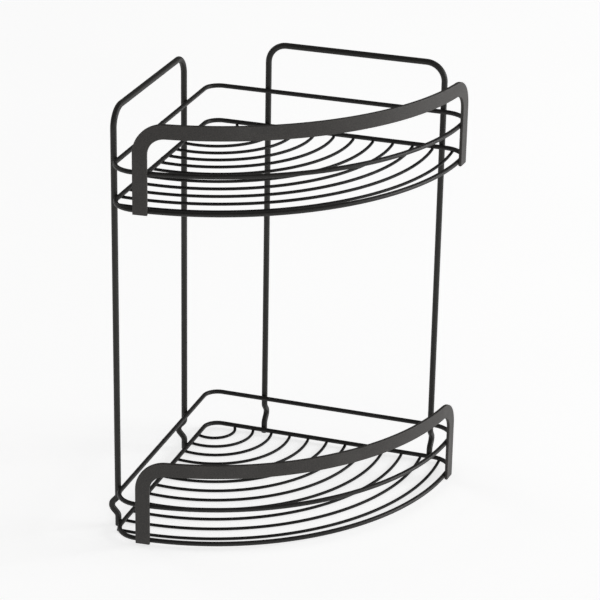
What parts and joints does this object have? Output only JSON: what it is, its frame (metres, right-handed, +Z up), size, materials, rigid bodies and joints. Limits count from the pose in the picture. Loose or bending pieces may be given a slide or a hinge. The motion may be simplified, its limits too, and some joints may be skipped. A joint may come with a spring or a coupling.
{
  "type": "corner shower caddy",
  "caption": "Corner shower caddy of coated steel wire: open wire shelves with raised flat-bar fronts, carried by a looped wire frame along each wall.",
  "frame": {"origin": "on the surface that the caddy stands on, under the middle of its plan outline", "axes": "+Z up, -Y towards the user, +Y towards the room corner, so the two walls run at 45 degrees to X"},
  "size_m": [0.2652, 0.2, 0.3116],
  "materials": {
    "ring_wire": "satin anthracite coating with a very fine grain on 3.3 mm wire",
    "frame_wire": "satin anthracite coating with a very fine grain on 4.4 mm wire",
    "floor_wire": "satin anthracite coating with a very fine grain on 2.2 mm wire",
    "front_band": "satin anthracite coating with a fine grain on flat bar"
  },
  "bodies": {
    "root": {"lower_base_ring": "ring_wire", "lower_rail_ring": "ring_wire", "upper_base_ring": "ring_wire", "upper_rail_ring": "ring_wire", "left_wall_frame": "frame_wire", "right_wall_frame": "frame_wire", "lower_front_band": "front_band", "upper_front_band": "front_band", "lower_floor_wire_01": "floor_wire", "lower_floor_wire_02": "floor_wire", "lower_floor_wire_03": "floor_wire", "lower_floor_wire_04": "floor_wire", "lower_floor_wire_05": "floor_wire", "lower_floor_wire_06": "floor_wire", "lower_floor_wire_07": "floor_wire", "lower_floor_wire_08": "floor_wire", "lower_floor_wire_09": "floor_wire", "lower_floor_wire_10": "floor_wire", "lower_floor_wire_11": "floor_wire", "lower_floor_wire_12": "floor_wire", "upper_floor_wire_01": "floor_wire", "upper_floor_wire_02": "floor_wire", "upper_floor_wire_03": "floor_wire", "upper_floor_wire_04": "floor_wire", "upper_floor_wire_05": "floor_wire", "upper_floor_wire_06": "floor_wire", "upper_floor_wire_07": "floor_wire", "upper_floor_wire_08": "floor_wire", "upper_floor_wire_09": "floor_wire", "upper_floor_wire_10": "floor_wire", "upper_floor_wire_11": "floor_wire", "upper_floor_wire_12": "floor_wire"}
  },
  "joints": []
}
